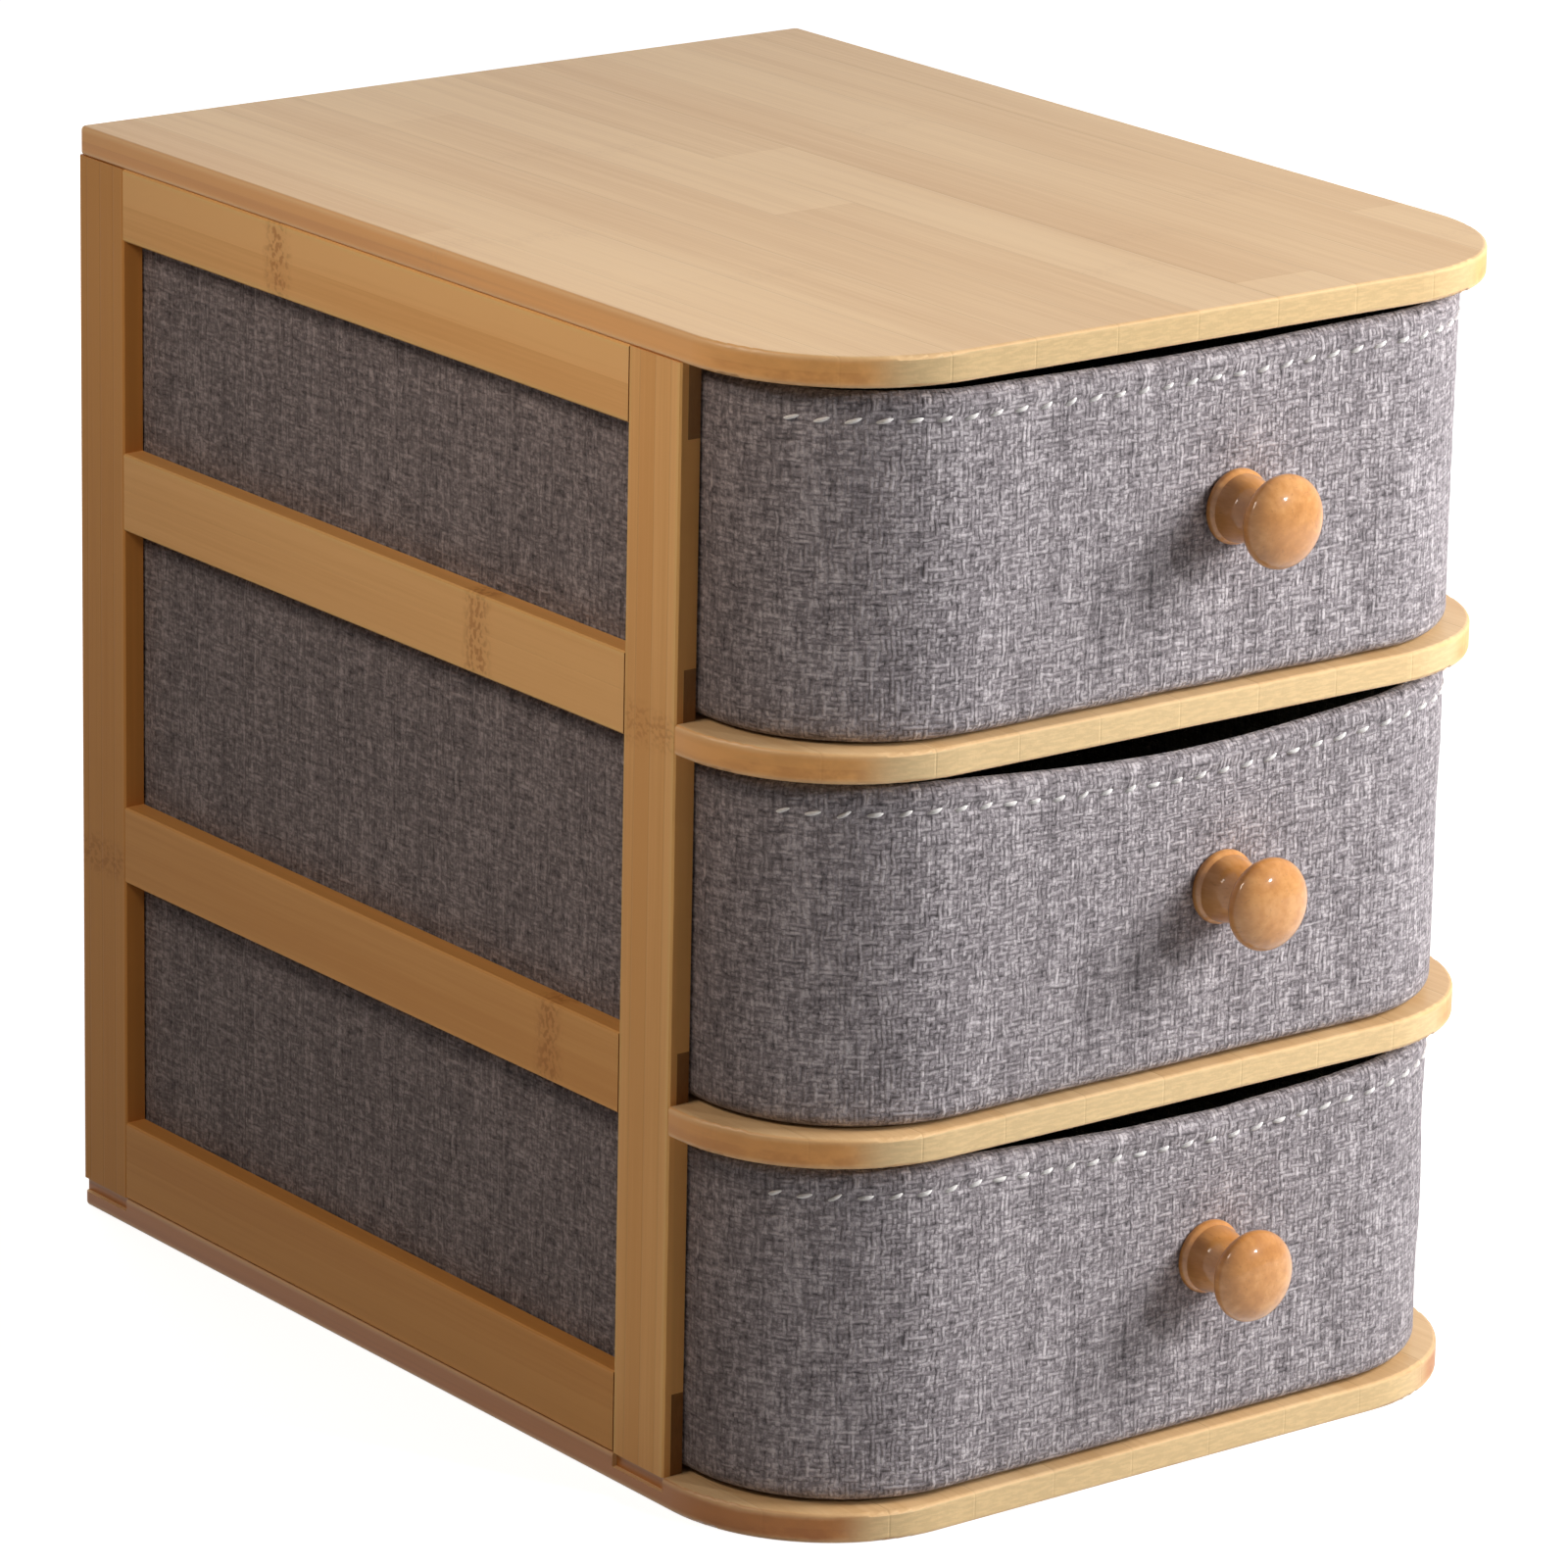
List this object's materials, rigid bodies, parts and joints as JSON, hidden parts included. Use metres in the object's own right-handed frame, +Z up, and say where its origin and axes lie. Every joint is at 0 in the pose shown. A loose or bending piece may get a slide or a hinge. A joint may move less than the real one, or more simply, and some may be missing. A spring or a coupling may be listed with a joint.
{
  "type": "desktop drawer unit",
  "caption": "Small desk unit of bamboo boards on slatted side frames, with cloth-covered sliding drawers on turned knobs.",
  "frame": {"origin": "middle of the bottom board's underside, where the unit stands on the desk", "axes": "+Z up; the drawers face and slide towards -Y; +X to the right seen from the front"},
  "size_m": [0.197, 0.2804, 0.25],
  "materials": {
    "bamboo_board": "satin varnish",
    "bamboo_slat": "satin varnish",
    "back_ply": "matt",
    "dowel_wood": "matt",
    "linen_cloth": "woven linen look, matt",
    "lining_cloth": "plain woven, matt",
    "greyboard": "stiff paper board, matt",
    "turned_wood": "glossy varnish",
    "zinc_steel": "zinc plated"
  },
  "bodies": {
    "carcass": {"top_board": "bamboo_board", "upper_shelf": "bamboo_board", "lower_shelf": "bamboo_board", "bottom_board": "bamboo_board", "back_panel": "back_ply", "left_front_post": "bamboo_slat", "left_rear_post": "bamboo_slat", "left_bottom_rail": "bamboo_slat", "left_lower_rail": "bamboo_slat", "left_upper_rail": "bamboo_slat", "left_top_rail": "bamboo_slat", "left_dowels": "dowel_wood", "right_front_post": "bamboo_slat", "right_rear_post": "bamboo_slat", "right_bottom_rail": "bamboo_slat", "right_lower_rail": "bamboo_slat", "right_upper_rail": "bamboo_slat", "right_top_rail": "bamboo_slat", "right_dowels": "dowel_wood"},
    "bottom_drawer": {"bottom_drawer_cover": "linen_cloth", "bottom_drawer_hem": "linen_cloth", "bottom_drawer_lining": "lining_cloth", "bottom_drawer_front_stiffener": "greyboard", "bottom_drawer_left_stiffener": "greyboard", "bottom_drawer_right_stiffener": "greyboard", "bottom_drawer_rear_stiffener": "greyboard", "bottom_drawer_floor_stiffener": "greyboard", "bottom_drawer_knob": "turned_wood", "bottom_drawer_knob_washer": "zinc_steel", "bottom_drawer_knob_screw": "zinc_steel"},
    "middle_drawer": {"middle_drawer_cover": "linen_cloth", "middle_drawer_hem": "linen_cloth", "middle_drawer_lining": "lining_cloth", "middle_drawer_front_stiffener": "greyboard", "middle_drawer_left_stiffener": "greyboard", "middle_drawer_right_stiffener": "greyboard", "middle_drawer_rear_stiffener": "greyboard", "middle_drawer_floor_stiffener": "greyboard", "middle_drawer_knob": "turned_wood", "middle_drawer_knob_washer": "zinc_steel", "middle_drawer_knob_screw": "zinc_steel"},
    "top_drawer": {"top_drawer_cover": "linen_cloth", "top_drawer_hem": "linen_cloth", "top_drawer_lining": "lining_cloth", "top_drawer_front_stiffener": "greyboard", "top_drawer_left_stiffener": "greyboard", "top_drawer_right_stiffener": "greyboard", "top_drawer_rear_stiffener": "greyboard", "top_drawer_floor_stiffener": "greyboard", "top_drawer_knob": "turned_wood", "top_drawer_knob_washer": "zinc_steel", "top_drawer_knob_screw": "zinc_steel"}
  },
  "joints": [
    {"name": "bottom_drawer_slide", "type": "slide", "parent": "carcass", "child": "bottom_drawer", "axis": [0, -1, 0], "range_m": [0, 0.225]},
    {"name": "middle_drawer_slide", "type": "slide", "parent": "carcass", "child": "middle_drawer", "axis": [0, -1, 0], "range_m": [0, 0.225]},
    {"name": "top_drawer_slide", "type": "slide", "parent": "carcass", "child": "top_drawer", "axis": [0, -1, 0], "range_m": [0, 0.225]}
  ]
}
